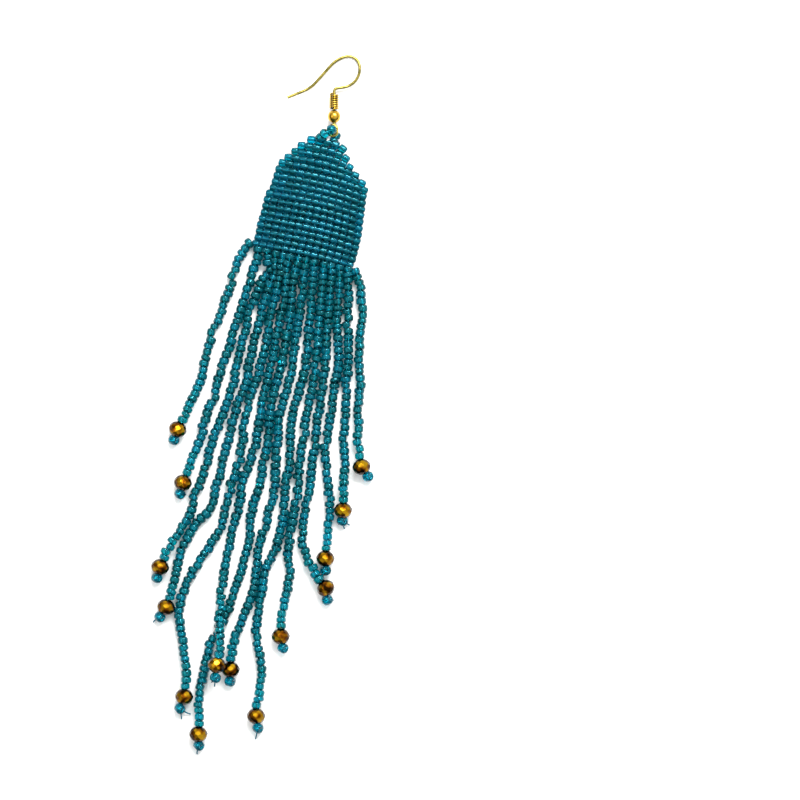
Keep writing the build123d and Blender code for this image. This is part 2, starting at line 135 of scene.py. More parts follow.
# Routes of the strands, the part's own but for a few points near the cap and one more on the fourth: x, y
# and lift off the table, ending at the middle of the faceted bead
STRAND_ROUTES = [
    [(-0.0046, 0.0348, 0), (-0.0058, 0.0316, 0), (-0.0071, 0.0271, 0), (-0.0088, 0.0217, 0),
     (-0.0108, 0.0171, 0), (-0.0125, 0.0117, 0), (-0.0136, 0.0064, 0), (-0.0152, 0.0019, 0.0002),
     (-0.0169, -0.0019, 0), (-0.0193, -0.0065, 0)],
    [(-0.0008, 0.0334, 0.0002), (-0.0022, 0.0289, 0), (-0.0042, 0.0234, 0), (-0.0058, 0.0183, 0),
     (-0.0073, 0.0124, 0), (-0.0098, 0.0062, 0), (-0.0108, 0.001, 0), (-0.0131, -0.0036, 0),
     (-0.0138, -0.0085, 0), (-0.0168, -0.015, 0), (-0.0181, -0.0189, 0)],
    [(0.0015, 0.033, 0.0004), (0.0019, 0.0306, 0.0002), (-0.0003, 0.0271, 0), (-0.0025, 0.0208, 0),
     (-0.0042, 0.0145, 0), (-0.0053, 0.0099, 0), (-0.0061, 0.0048, 0), (-0.008, -0.0006, 0),
     (-0.0107, -0.0076, 0), (-0.0121, -0.0124, 0), (-0.0135, -0.0178, 0), (-0.0154, -0.0213, 0),
     (-0.0161, -0.0252, 0), (-0.0186, -0.0301, 0.0003), (-0.0217, -0.0336, 0), (-0.0234, -0.0385, 0)],
    [(0.0033, 0.0322, 0.0006), (0.0035, 0.0298, 0.0004), (0.0016, 0.0264, 0.0001), (0, 0.0203, 0),
     (-0.0016, 0.0141, 0), (-0.0027, 0.009, 0), (-0.0035, 0.0036, 0), (-0.0059, -0.0017, 0),
     (-0.0073, -0.0083, 0), (-0.0092, -0.0152, 0), (-0.0109, -0.0224, 0), (-0.0116, -0.0256, 0),
     (-0.0151, -0.028, 0), (-0.0178, -0.0327, 0), (-0.0192, -0.0375, 0.0002), (-0.0202, -0.0429, 0),
     (-0.022, -0.0478, 0)],
    [(0.0049, 0.0317, 0.0008), (0.0037, 0.0259, 0.0001), (0.0023, 0.0196, 0), (0.001, 0.0134, 0),
     (0, 0.008, 0), (-0.0021, 0.0015, 0), (-0.0037, -0.0024, 0), (-0.0039, -0.0071, 0),
     (-0.0048, -0.0131, 0), (-0.0066, -0.0182, 0), (-0.0082, -0.0243, 0), (-0.0096, -0.0301, 0),
     (-0.0129, -0.0352, 0), (-0.0157, -0.0392, 0), (-0.018, -0.0438, 0), (-0.0192, -0.0496, 0),
     (-0.0184, -0.055, 0), (-0.0178, -0.0599, 0.0004), (-0.0169, -0.0636, 0), (-0.0178, -0.0686, 0)],
    [(0.0059, 0.0315, 0.0009), (0.0058, 0.0285, 0.0006), (0.0057, 0.0255, 0.0002), (0.0044, 0.0194, 0),
     (0.0033, 0.0134, 0), (0.0025, 0.0078, 0), (0.0004, 0.0017, 0), (-0.0003, -0.0045, 0),
     (-0.0013, -0.0106, 0), (-0.0029, -0.015, 0), (-0.0046, -0.0203, 0), (-0.005, -0.025, 0),
     (-0.007, -0.0308, 0), (-0.0079, -0.0362, 0), (-0.0089, -0.0417, 0), (-0.0092, -0.0465, 0.0006),
     (-0.0098, -0.0499, 0.0019), (-0.0093, -0.0531, 0.0024), (-0.0091, -0.0562, 0.0022),
     (-0.0101, -0.0611, 0.0029)],
    [(0.0081, 0.031, 0.0009), (0.0075, 0.0278, 0.0006), (0.0073, 0.025, 0.0002), (0.0066, 0.019, 0),
     (0.0057, 0.0127, 0), (0.0047, 0.0073, 0), (0.0028, 0.0022, 0), (0.002, -0.0041, 0),
     (0.0015, -0.0106, 0), (0.0002, -0.0162, 0), (-0.0001, -0.0201, 0), (-0.002, -0.0231, 0),
     (-0.0024, -0.0289, 0), (-0.003, -0.0345, 0), (-0.0046, -0.0392, 0), (-0.0061, -0.0445, 0),
     (-0.0077, -0.0492, 0), (-0.011, -0.0545, 0), (-0.0127, -0.0592, 0), (-0.0134, -0.0641, 0),
     (-0.0146, -0.0687, 0.0003), (-0.0143, -0.0722, 0), (-0.0145, -0.0773, 0)],
    [(0.0101, 0.0304, 0.0009), (0.0096, 0.0274, 0.0006), (0.0094, 0.0245, 0.0002), (0.0087, 0.0185, 0),
     (0.0078, 0.0124, 0), (0.0071, 0.0071, 0), (0.0058, 0.0013, 0), (0.004, -0.0036, 0),
     (0.0039, -0.0096, 0), (0.0032, -0.0157, 0), (0.0033, -0.0206, 0), (0.002, -0.0255, 0),
     (-0.0001, -0.0317, 0), (-0.0009, -0.0371, 0), (-0.0015, -0.0424, 0), (-0.0025, -0.0468, 0),
     (-0.0043, -0.0505, 0), (-0.0058, -0.0541, 0.0003), (-0.0068, -0.0577, 0), (-0.007, -0.0623, 0)],
    [(0.012, 0.0299, 0.0009), (0.0117, 0.0238, 0.0002), (0.0112, 0.018, 0), (0.0108, 0.012, 0),
     (0.0101, 0.0057, 0), (0.0076, -0.0017, 0), (0.0066, -0.0069, 0), (0.007, -0.0134, 0),
     (0.0057, -0.0185, 0), (0.0056, -0.0234, 0), (0.0048, -0.0296, 0), (0.0034, -0.0348, 0),
     (0.001, -0.0385, 0), (0.0005, -0.0431, 0), (-0.0008, -0.0489, 0), (-0.0013, -0.0538, 0),
     (-0.0002, -0.0592, 0), (0.0004, -0.0643, 0.0002), (-0.0007, -0.0679, 0), (-0.0011, -0.0731, 0)],
    [(0.0146, 0.0296, 0.0008), (0.0139, 0.0234, 0.0001), (0.0134, 0.0173, 0), (0.013, 0.011, 0),
     (0.0123, 0.0041, 0), (0.0107, -0.0034, 0), (0.0095, -0.0101, 0), (0.0087, -0.0166, 0),
     (0.0083, -0.0236, 0), (0.0069, -0.0301, 0), (0.0062, -0.0352, 0), (0.007, -0.0403, 0),
     (0.0055, -0.0455, 0.0002), (0.0049, -0.0494, 0), (0.0046, -0.0546, 0)],
    [(0.0165, 0.0292, 0.0006), (0.0159, 0.0229, 0.0001), (0.0154, 0.0169, 0), (0.0152, 0.0106, 0),
     (0.0144, 0.0034, 0), (0.0132, -0.0034, 0), (0.0125, -0.0096, 0), (0.0116, -0.0162, 0),
     (0.0115, -0.0208, 0), (0.0104, -0.0255, 0), (0.0094, -0.032, 0), (0.0105, -0.0358, 0.0002),
     (0.0121, -0.0393, 0), (0.0151, -0.0434, 0)],
    [(0.0184, 0.0287, 0.0004), (0.018, 0.0229, 0), (0.0176, 0.0176, 0), (0.0181, 0.0117, 0),
     (0.0178, 0.0069, 0), (0.0166, 0.0017, 0), (0.0161, -0.0041, 0), (0.0148, -0.0099, 0),
     (0.0152, -0.0152, 0), (0.0157, -0.0199, 0), (0.0159, -0.0241, 0), (0.0158, -0.0278, 0.0003),
     (0.0153, -0.0313, 0), (0.015, -0.0365, 0)],
    [(0.0204, 0.0283, 0.0002), (0.0202, 0.0224, 0), (0.0203, 0.0164, 0), (0.0205, 0.0106, 0),
     (0.0198, 0.0043, 0), (0.0198, -0.0017, 0), (0.0192, -0.0071, 0), (0.0195, -0.0121, 0),
     (0.0194, -0.0163, 0.0003), (0.0192, -0.0203, 0), (0.0191, -0.0253, 0)],
    [(0.0228, 0.0285, 0), (0.0237, 0.0229, 0), (0.0234, 0.0166, 0), (0.0227, 0.0117, 0),
     (0.0233, 0.005, 0), (0.0226, -0.0006, 0), (0.0227, -0.0059, 0.0002), (0.0222, -0.0105, 0),
     (0.0234, -0.0152, 0)],
]

# Tip beads beyond the faceted beads, a little lower than these: longer, more tilted and of a lighter tone
TIP_BEADS = [
    (-0.02021, -0.00895), (-0.01882, -0.0215), (-0.02417, -0.04103), (-0.02347, -0.0501),
    (-0.01882, -0.07138), (-0.01045, -0.06405), (-0.0144, -0.07995), (-0.00719, -0.0651),
    (-0.00068, -0.07591), (0.00513, -0.05731), (0.01543, -0.04615), (0.01503, -0.03934),
    (0.01892, -0.02778), (0.02489, -0.01746),
]
TIP_DROP = 0.0008
TIP_LENGTH = 1.4
TIP_TILT = 0.25
TIP_TONES = (1.6, 2.0)

# Cut ends of thread beyond the tip beads: strand and where the end lies
THREAD_TAILS = [
    (2, (-0.01742, -0.02174)), (4, (-0.0251, -0.05138)), (5, (-0.01847, -0.07393)),
    (5, (-0.01638, -0.07277)), (6, (-0.01138, -0.06521)), (6, (-0.01068, -0.06614)),
    (7, (-0.01487, -0.08207)), (9, (-0.00126, -0.07858)), (11, (0.01692, -0.04622)),
    (11, (0.01438, -0.04696)), (12, (0.01617, -0.03894)), (13, (0.01945, -0.02964)),
    (13, (0.02064, -0.02883)), (14, (0.02478, -0.0186)),
]
# Distances from the tip bead's middle to the tail's start and to its knot
TAIL_START, TAIL_KNOT = 0.0007, 0.00092
# How far a tail sinks, the least height of its end, and how far it bends aside as a share of its length
TAIL_SINK, TAIL_REST = 0.0009, 0.0003
TAIL_BEND = 0.12

# Knots of undyed thread at the middle and the left end of the cap's top edge
PALE_KNOTS = [(0.01559, 0.06068, 0.0028), (0.00903, 0.05996, 0.0012)]
# Sizes of the knots, and the radius of their thread as a share of the thread's diameter
TAIL_KNOT_SIZE, CAP_KNOT_SIZE = 0.00016, 0.00024
KNOT_THREAD = 0.45

# Beads of the hanging loop: middle and the way that each one's hole points
LOOP_BEADS = [
    ((0.01385, 0.06115, 0.00305), (0.70, 0.62, 0.35)),
    ((0.0148, 0.0621, 0.00372), (0.72, 0.60, 0.30)),
    ((0.01645, 0.0630, 0.00395), (0.75, 0.45, -0.48)),
    ((0.0174, 0.06175, 0.00125), (0.25, 0.95, -0.15)),
    ((0.01688, 0.0604, 0.0018), (0.55, 0.75, -0.35)),
]
LOOP_LENGTH = 1.05
LOOP_TILT = 0.05
LOOP_TONE, LOOP_TONE_STEP = 0.55, 0.1
# The loop's thread: its two ends in the cap's coordinates, and its turn through the eye after the third bead
LOOP_START, LOOP_END = (-0.0026, 0.0253, 0.0023), (0.0012, 0.0248, 0.0022)
LOOP_TURN = (0.01735, 0.06285, 0.0026)
BEADS_BEFORE_TURN = 3

# Soft lights over the table: place, width and depth; the fill light has a share of the key light's power
KEY_PLACE, KEY_SIZE = (0.15, 0.45, 0.52), (0.46, 0.28)
FILL_PLACE, FILL_SIZE = (-0.45, 0.0, 0.55), (0.4, 0.4)
FILL_SHARE = 0.1
# The room is brightest overhead and towards the upper right, and dim low down at the fringe's side
SKY_WAY = (0.15, 0.40, 0.90)
SKY_DIM, SKY_BRIGHT = (0.10, 0.10, 0.11), (1.0, 1.0, 1.0)

# The camera looks straight down; its lens and sensor are in millimetres
CAMERA_PLACE = (0.03233, 0.0003, 1.0343)
LENS, SENSOR = 200, 36


def linear(hex_colour):
    """Linear red, green and blue of an sRGB hex colour."""
    parts = [int(hex_colour[i:i + 2], 16) / 255 for i in (1, 3, 5)]
    return tuple(c / 12.92 if c <= 0.04045 else ((c + 0.055) / 1.055) ** 2.4 for c in parts)


def length_property(name, description, default):
    """Setting for a length in metres."""
    return FloatProperty(name=name, description=description, default=default, min=0.00001, unit="LENGTH")


def colour_property(name, description, hex_colour):
    """Setting for a colour, which starts from an sRGB hex colour."""
    return FloatVectorProperty(name=name, description=description, subtype="COLOR", size=3, min=0, max=1,
                               default=linear(hex_colour))


class EARRING_PG_beads(bpy.types.PropertyGroup):
    diameter: length_property("Fringe bead", "Diameter of the fringe's seed beads", 0.00241)
    length: length_property("Fringe bead length", "Mean length of a fringe bead along its hole", 0.00146)
    hole: length_property("Hole", "Diameter of the hole in a seed bead", 0.0005)
    unevenness: FloatProperty(name="Unevenness", description="How much the beads differ in length",
                              default=0.18, min=0, max=0.5, subtype="FACTOR")
    loose: FloatProperty(name="Loose beads", description="Share of small beads that sit beside their row",
                         default=0.04, min=0, max=0.3, subtype="FACTOR")
    sway: length_property("Sway", "How far a bead sits beside its thread", 0.00022)
    thread: length_property("Thread", "Diameter of the thread", 0.0003)
    seed: IntProperty(name="Seed", description="Start of the random unevenness", default=7, min=0)
    glass: colour_property("Glass", "Body of the teal glass", "#009dac")
    # Deep glass is also painted shade, edge on and at a bead's ends where beads meet
    deep_glass_and_shade: colour_property("Deep glass", "Glass seen edge on and at the ends of a bead", "#002838")
    thread_dye: colour_property("Thread dye", "Teal of the dyed thread", "#2f9aa6")
    warp_dye: colour_property("Warp dye", "Dark teal of the cap's warp threads and the cut ends", "#04485a")
    undyed: colour_property("Undyed thread", "Pale thread of the knots on the cap's top edge", "#b9c4c6")


class EARRING_PG_cap(bpy.types.PropertyGroup):
    diameter: length_property("Cap bead", "Diameter of the cap's beads", 0.0017)
    length: length_property("Cap bead length", "Length of a cap bead along its row", 0.00175)
    column: length_property("Column", "Width of a column of beads with its warp thread", 0.00175)
    stagger: length_property("Stagger", "How far every other row stands out", 0.00012)
    glass: colour_property("Cap glass", "Body of the cap's glass, darker for the thread behind it", "#00889b")
    # Deep cap glass is also painted shade, edge on and at a bead's ends where beads meet
    deep_glass_and_shade: colour_property("Deep cap glass", "Cap glass seen edge on and at a bead's ends", "#00526b")


class EARRING_PG_faceted(bpy.types.PropertyGroup):
    gold: colour_property("Gold coat", "Thick part of the vapour coat", "#cc9e1c")
    bronze: colour_property("Bronze coat", "Thin part of the vapour coat", "#874b0a")
    # The dark coat colour stands for the thinnest coat and is also painted shade on facets seen edge on
    rim: colour_property("Dark coat", "Coat where it is thinnest or seen edge on", "#221404")


class EARRING_PG_hook(bpy.types.PropertyGroup):
    plating: colour_property("Wire plating", "Pale gold plating on the wire", "#9e9049")
    worn: colour_property("Worn wire plating", "Thinner plating where the brass shows", "#5f5a26")
    trim: colour_property("Trim plating", "Yellow gold plating on the coil and the ball", "#d2ae47")
    worn_trim: colour_property("Worn trim plating", "Thinner plating on the coil and the ball", "#ab8120")
    # Painted shade in the grooves between the coil's turns
    groove_shade: colour_property("Tarnish", "Tarnish in the grooves between the coil's turns", "#2e2205")


class EARRING_PG_stage(bpy.types.PropertyGroup):
    radius: length_property("Table", "Radius of the table top", 1.6)
    table: colour_property("Table top", "Pale table top", "#f7f7f5")
    key: FloatProperty(name="Key light", description="Power of the soft light at the upper right",
                       default=8.2, min=0, unit="POWER")
    sky: FloatProperty(name="Room light", description="Strength of the room's soft light",
                       default=1.45, min=0)


def node(tree, kind, inputs=None, **settings):
    """Adds a node with its settings; each input takes a value or another node's output."""
    made = tree.nodes.new(kind)
    for name, value in settings.items():
        setattr(made, name, value)
    for socket, value in (inputs or {}).items():
        if isinstance(value, bpy.types.NodeSocket):
            tree.links.new(value, made.inputs[socket])
        else:
            made.inputs[socket].default_value = value
    return made


def new_material(name):
    """Empty material and its node tree."""
    material = bpy.data.materials.new(name)
    material.use_nodes = True
    material.node_tree.nodes.clear()
    return material, material.node_tree


def rgba(colour):
    """Colour with full alpha."""
    return (*colour, 1.0)


def blend_colours(tree, factor, start, end):
    """Colour between two others; each is a value with alpha or another node's output."""
    mix = node(tree, "ShaderNodeMix", {"Factor": factor, "A": start, "B": end}, data_type="RGBA")
    return mix.outputs["Result"]


def finish_material(tree, shader):
    """Links the shader to the material's surface."""
    node(tree, "ShaderNodeOutputMaterial", {"Surface": shader.outputs[0]})


def seed_glass(name, body, deep_and_shade):
    """Transparent teal soda-lime glass, drawn as a tube, chopped and tumbled: clear, deepest where it is seen
    edge on, partly for the longer path through the glass and partly as painted shade, and at the ends round
    its holes as painted shade where beads meet; with an uneven skin that breaks its highlights up."""
    material, tree = new_material(name)
    place = node(tree, "ShaderNodeTexCoord").outputs["Object"]
    girth = node(tree, "ShaderNodeAttribute", attribute_name="girth").outputs["Fac"]
    tone = node(tree, "ShaderNodeAttribute", attribute_name="tone").outputs["Fac"]
    # Beads differ a little in hue and more in brightness; the tip beads' tones lie past the usual range
    hue = node(tree, "ShaderNodeMapRange", {"Value": tone, "To Min": 0.485, "To Max": 0.512})
    batch = node(tree, "ShaderNodeMapRange", {"Value": tone, "To Min": 0.75, "To Max": 1.38}, clamp=False)
    # Streaks in the drawn glass are about 0.5 mm wide
    streaks = node(tree, "ShaderNodeTexNoise", {"Vector": place, "Scale": 2000.0, "Detail": 2.0})
    streak = node(tree, "ShaderNodeMapRange", {
        "Value": streaks.outputs["Fac"], "From Min": 0.3, "From Max": 0.7, "To Min": 0.85, "To Max": 1.15})
    value = node(tree, "ShaderNodeMath", {0: batch.outputs[0], 1: streak.outputs[0]}, operation="MULTIPLY")
    # Painted shade: the deep colour goes where the glass is seen edge on, partly for its longer path there,
    # and at a bead's ends by girth, where beads meet
    edge = node(tree, "ShaderNodeLayerWeight", {"Blend": 0.35})
    face_on = node(tree, "ShaderNodeMapRange", {
        "Value": edge.outputs["Facing"], "From Min": 0.55, "From Max": 0.12})
    clear = node(tree, "ShaderNodeMath", {0: girth, 1: face_on.outputs[0]}, operation="MULTIPLY")
    varied = node(tree, "ShaderNodeHueSaturation", {
        "Hue": hue.outputs[0], "Value": value.outputs[0],
        "Color": blend_colours(tree, clear.outputs[0], rgba(deep_and_shade), rgba(body))})
    # The tumbled skin swells and sinks over about 0.4 mm
    skin = node(tree, "ShaderNodeTexNoise", {"Vector": place, "Scale": 2500.0, "Detail": 1.0})
    bump = node(tree, "ShaderNodeBump", {"Height": skin.outputs["Fac"], "Distance": 0.00006, "Strength": 0.3})
    gloss = node(tree, "ShaderNodeMapRange", {"Value": skin.outputs["Fac"], "To Min": 0.04, "To Max": 0.14})
    shader = node(tree, "ShaderNodeBsdfPrincipled", {
        "Base Color": varied.outputs[0], "Roughness": gloss.outputs[0], "IOR": 1.52,
        "Transmission Weight": 0.9, "Specular Tint": (0.2, 0.85, 1.0, 1.0), "Normal": bump.outputs[0]})
    finish_material(tree, shader)
    return material


def dyed_thread(name, dye):
    """Nylon beading thread, twisted and dyed: matt, with a fine twist about 0.25 mm long."""
    material, tree = new_material(name)
    place = node(tree, "ShaderNodeTexCoord").outputs["Object"]
    twist = node(tree, "ShaderNodeTexNoise", {"Vector": place, "Scale": 4000.0, "Detail": 2.0})
    pale = tuple(min(1.0, c * 2.2) for c in dye)
    bump = node(tree, "ShaderNodeBump", {
        "Height": twist.outputs["Fac"], "Distance": 0.00005, "Strength": 0.6})
    shader = node(tree, "ShaderNodeBsdfPrincipled", {
        "Base Color": blend_colours(tree, twist.outputs["Fac"], rgba(dye), rgba(pale)),
        "Roughness": 0.7, "Specular IOR Level": 0.1, "Normal": bump.outputs[0]})
    finish_material(tree, shader)
    return material


def coated_glass(name, gold, bronze, rim):
    """Cut glass with a vapour coat of metal: mirror-like facets that run from gold to bronze with the coat's
    thickness, and darken with painted shade where they are seen edge on."""
    material, tree = new_material(name)
    place = node(tree, "ShaderNodeTexCoord").outputs["Object"]
    # The coat's thickness drifts over about 2 mm
    drift = node(tree, "ShaderNodeTexNoise", {"Vector": place, "Scale": 520.0, "Detail": 1.0})
    coat = node(tree, "ShaderNodeValToRGB", {"Fac": drift.outputs["Fac"]})
    thinnest, thickest = coat.color_ramp.elements
    thinnest.position, thinnest.color = 0.36, rgba(rim)
    thickest.position, thickest.color = 0.62, rgba(gold)
    coat.color_ramp.elements.new(0.46).color = rgba(bronze)
    # Painted shade: facets seen edge on take the dark coat colour
    edge = node(tree, "ShaderNodeLayerWeight", {"Blend": 0.5})
    turned = node(tree, "ShaderNodeMapRange", {
        "Value": edge.outputs["Facing"], "From Min": 0.15, "From Max": 0.55})
    # Wear of the coat shows in spots of about 0.3 mm
    wear = node(tree, "ShaderNodeTexNoise", {"Vector": place, "Scale": 3000.0, "Detail": 3.0})
    gloss = node(tree, "ShaderNodeMapRange", {"Value": wear.outputs["Fac"], "To Min": 0.05, "To Max": 0.2})
    shader = node(tree, "ShaderNodeBsdfPrincipled", {
        "Base Color": blend_colours(tree, turned.outputs[0], coat.outputs["Color"], rgba(rim)),
        "Metallic": 1.0, "Roughness": gloss.outputs[0]})
    finish_material(tree, shader)
    return material


def plated_wire(name, plating, worn, coil=None):
    """Gold-plated brass wire, drawn and bent: polished, with faint drawing marks and thinner plating in
    patches. A coil's middle and axis and a colour add painted shade in the grooves between its turns."""
    material, tree = new_material(name)
    place = node(tree, "ShaderNodeTexCoord").outputs["Object"]
    # Patches of thinner plating are about 1.5 mm long
    patches = node(tree, "ShaderNodeTexNoise", {"Vector": place, "Scale": 700.0, "Detail": 3.0})
    share = node(tree, "ShaderNodeMapRange", {
        "Value": patches.outputs["Fac"], "From Min": 0.4, "From Max": 0.65})
    colour = blend_colours(tree, share.outputs[0], rgba(plating), rgba(worn))
    if coil:
        middle, axis, groove_shade = coil
        # Painted shade: the plating darkens towards the coil's axis, in the grooves between its turns
        from_middle = node(tree, "ShaderNodeVectorMath", {0: place, 1: middle}, operation="SUBTRACT")
        across = node(tree, "ShaderNodeVectorMath", {0: from_middle.outputs[0], 1: axis},
                      operation="CROSS_PRODUCT")
        reach = node(tree, "ShaderNodeVectorMath", {0: across.outputs[0]}, operation="LENGTH")
        groove = node(tree, "ShaderNodeMapRange", {
            "Value": reach.outputs["Value"], "From Min": GROOVE_TOP, "From Max": GROOVE_BOTTOM})
        colour = blend_colours(tree, groove.outputs[0], colour, rgba(groove_shade))
    # Real drawing marks are finer; these are about 0.17 mm, so that they show
    marks = node(tree, "ShaderNodeTexNoise", {"Vector": place, "Scale": 6000.0, "Detail": 2.0})
    bump = node(tree, "ShaderNodeBump", {
        "Height": marks.outputs["Fac"], "Distance": 0.00001, "Strength": 0.25})
    gloss = node(tree, "ShaderNodeMapRange", {"Value": marks.outputs["Fac"], "To Min": 0.12, "To Max": 0.28})
    shader = node(tree, "ShaderNodeBsdfPrincipled", {
        "Base Color": colour, "Metallic": 1.0, "Roughness": gloss.outputs[0], "Normal": bump.outputs[0]})
    finish_material(tree, shader)
    return material


def table_board(name, colour):
    """Coated board: matt and near white, with a grain of about 1 mm that only its gloss shows."""
    material, tree = new_material(name)
    place = node(tree, "ShaderNodeTexCoord").outputs["Object"]
    grain = node(tree, "ShaderNodeTexNoise", {"Vector": place, "Scale": 900.0, "Detail": 2.0})
    gloss = node(tree, "ShaderNodeMapRange", {"Value": grain.outputs["Fac"], "To Min": 0.6, "To Max": 0.7})
    shader = node(tree, "ShaderNodeBsdfPrincipled", {
        "Base Color": rgba(colour), "Roughness": gloss.outputs[0]})
    finish_material(tree, shader)
    return material


def shared_material(name, maker, *settings):
    """Material by name, made the first time that a piece asks for it."""
    return bpy.data.materials.get(name) or maker(name, *settings)


def arch_height(across):
    """Height of the cap's underside off the table at a distance across from its middle line."""
    return max(math.sqrt(ARCH_RADIUS**2 - across**2) - (ARCH_RADIUS - ARCH_RISE), 0)


def cap_point(across, along, height):
    """Point of the cap from its own plane, in the shared frame."""
    cos, sin = math.cos(CAP_TURN), math.sin(CAP_TURN)
    return CAP_ORIGIN + Vector((across * cos + along * sin, along * cos - across * sin, height))


def row_point(row, across, height):
    """Point on a row of the cap, which droops to the right and a little to the left."""
    along, left, right, droop = row
    right_share = max(across, 0) / right
    left_share = max(-across, 0) / -left
    along -= droop * right_share**2 + LEFT_DROOP * left_share**2
    return cap_point(across, along, arch_height(across) + height)


def row_spacing(index):
    """Mean distance from a row of the cap to the rows beside it."""
    beside = CAP_ROWS[max(index - 1, 0):index + 2]
    return (beside[0][0] - beside[-1][0]) / (len(beside) - 1)


def nurbs_curve(name, lines, bevel=0.0):
    """Curve object with a smooth NURBS line for each list of control points."""
    curve = bpy.data.curves.new(name, "CURVE")
    curve.dimensions = "3D"
    curve.resolution_u = 8
    curve.bevel_depth = bevel
    curve.bevel_resolution = 1
    curve.use_fill_caps = bevel > 0
    for points in lines:
        spline = curve.splines.new("NURBS")
        spline.points.add(len(points) - 1)
        for point, place in zip(spline.points, points):
            point.co = (*place, 1)
        spline.order_u = 3
        spline.use_endpoint_u = True
    carrier = bpy.data.objects.new(name, curve)
    bpy.context.scene.collection.objects.link(carrier)
    return carrier


def mesh_of(carrier, name):
    """Mesh of a curve object, which is removed."""
    mesh = bpy.data.meshes.new_from_object(carrier)
    mesh.name = name
    curve = carrier.data
    bpy.data.objects.remove(carrier)
    bpy.data.curves.remove(curve)
    return mesh


def guide(points):
    """Points of the smooth line that a row of beads follows."""
    mesh = mesh_of(nurbs_curve("guide", [points]), "guide")
    line = [vertex.co.copy() for vertex in mesh.vertices]
    bpy.data.meshes.remove(mesh)
    return line


class Walk:
    """Gives places and directions by distance along a line of points."""

    def __init__(self, line):
        self.line = line
        self.reach = [0, *accumulate((b - a).length for a, b in zip(line, line[1:]))]

    def at(self, distance):
        step = min(max(bisect_right(self.reach, distance) - 1, 0), len(self.line) - 2)
        start, run = self.line[step], self.line[step + 1] - self.line[step]
        return start + run * (distance - self.reach[step]) / run.length, run.normalized()


def faceted_middle(number):
    """Middle of a strand's faceted bead."""
    low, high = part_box(f"rondelle_{number:02d}")
    return (low + high) / 2


def tip_middle(number):
    """Middle of a strand's tip bead."""
    return Vector((*TIP_BEADS[number - 1], faceted_middle(number).z - TIP_DROP))


def strand_route(number, bead_radius):
    """Control points of a strand, from the cap's rim to the middle of its faceted bead. The last two lie at
    that bead's height, whatever their lift."""
    across = (number - 0.5 - len(STRAND_ROUTES) / 2) * STRAND_PITCH
    along = -(FIRST_STRAND_START if number == 1 else STRAND_START)
    arch = arch_height(min(max(across, -HALF_BELLY), HALF_BELLY))
    route = STRAND_ROUTES[number - 1]
    points = [cap_point(across, along, arch + bead_radius)]
    points += [Vector((x, y, bead_radius + lift)) for x, y, lift in route[:-2]]
    points += [Vector((x, y, faceted_middle(number).z)) for x, y, lift in route[-2:]]
    return points


def only_verts(geometry):
    """The vertices among a bmesh's elements."""
    return [item for item in geometry if isinstance(item, bmesh.types.BMVert)]


def bead_profile(bm, diameter, length, hole, straight):
    """Spins a seed bead about Z: a short tube with rounded ends, its hole open. Its girth attribute is 1 at
    the waist and falls towards the ends, where the glass takes painted shade for the shade where beads meet."""
    radius, half_length, bore = diameter / 2, length / 2, hole / 2
    # Half of the outline, from the hole's mouth to the end of the straight wall: radius and height
    half = [(bore, 0.9 * half_length), ((0.6 + 0.35 * straight) * radius, half_length),
            (0.965 * radius, (1 + straight) / 2 * half_length), (radius, straight * half_length)]
    outline = [(x, -z) for x, z in half] + half[::-1]
    verts = [bm.verts.new((x, 0, z)) for x, z in outline]
    edges = [bm.edges.new(pair) for pair in zip(verts, verts[1:] + verts[:1])]
    bmesh.ops.spin(bm, geom=verts + edges, cent=(0, 0, 0), axis=(0, 0, 1), angle=math.tau, steps=10,
                   use_merge=True)
    bmesh.ops.recalc_face_normals(bm, faces=bm.faces)
    girth = bm.verts.layers.float.get("girth")
    for vert in bm.verts:
        outside = math.hypot(vert.co.x, vert.co.y) > 1.01 * bore
        # Painted shade: girth falls towards the ends, where the next bead meets this one; the hole's wall
        # keeps 0.9
        vert[girth] = 1 - 0.75 * abs(vert.co.z / half_length) ** 3 if outside else 0.9
    for face in bm.faces:
        face.smooth = True


def bead_mesh(name, shape, places):
    """Mesh with a copy of one bead at each place, each with its own tone of glass."""
    bm = bmesh.new()
    bm.verts.layers.float.new("girth")
    tone = bm.verts.layers.float.new("tone")
    bead_profile(bm, *shape)
    pattern = bm.verts[:] + bm.edges[:] + bm.faces[:]
    for place, shade in places:
        verts = only_verts(bmesh.ops.duplicate(bm, geom=pattern)["geom"])
        bmesh.ops.transform(bm, matrix=place, verts=verts)
        for vert in verts:
            vert[tone] = shade
    bmesh.ops.delete(bm, geom=only_verts(pattern), context="VERTS")
    mesh = bpy.data.meshes.new(name)
    bm.to_mesh(mesh)
    bm.free()
    return mesh


def bead_place(middle, direction, chance, tilt, width, length):
    """Matrix of a bead with its hole along a direction, turned and tilted by chance."""
    turn = direction.to_track_quat("Z", "Y").to_matrix().to_4x4()
    lean = Matrix.Rotation(chance.gauss(0, tilt), 4, "X") @ Matrix.Rotation(chance.gauss(0, tilt), 4, "Y")
    spin = Matrix.Rotation(chance.uniform(0, math.tau), 4, "Z")
    return Matrix.Translation(middle) @ turn @ lean @ spin @ Matrix.Diagonal((width, width, length, 1))


def bead_lengths(beads, room, chance):
    """Uneven lengths of the beads that fill a strand, spaces between them included."""
    lengths = []
    while sum(lengths) < room - beads.length / 2:
        lengths.append(beads.length * chance.uniform(1 - beads.unevenness, 1 + beads.unevenness))
    stretch = room / sum(lengths)
    return [length * stretch for length in lengths]


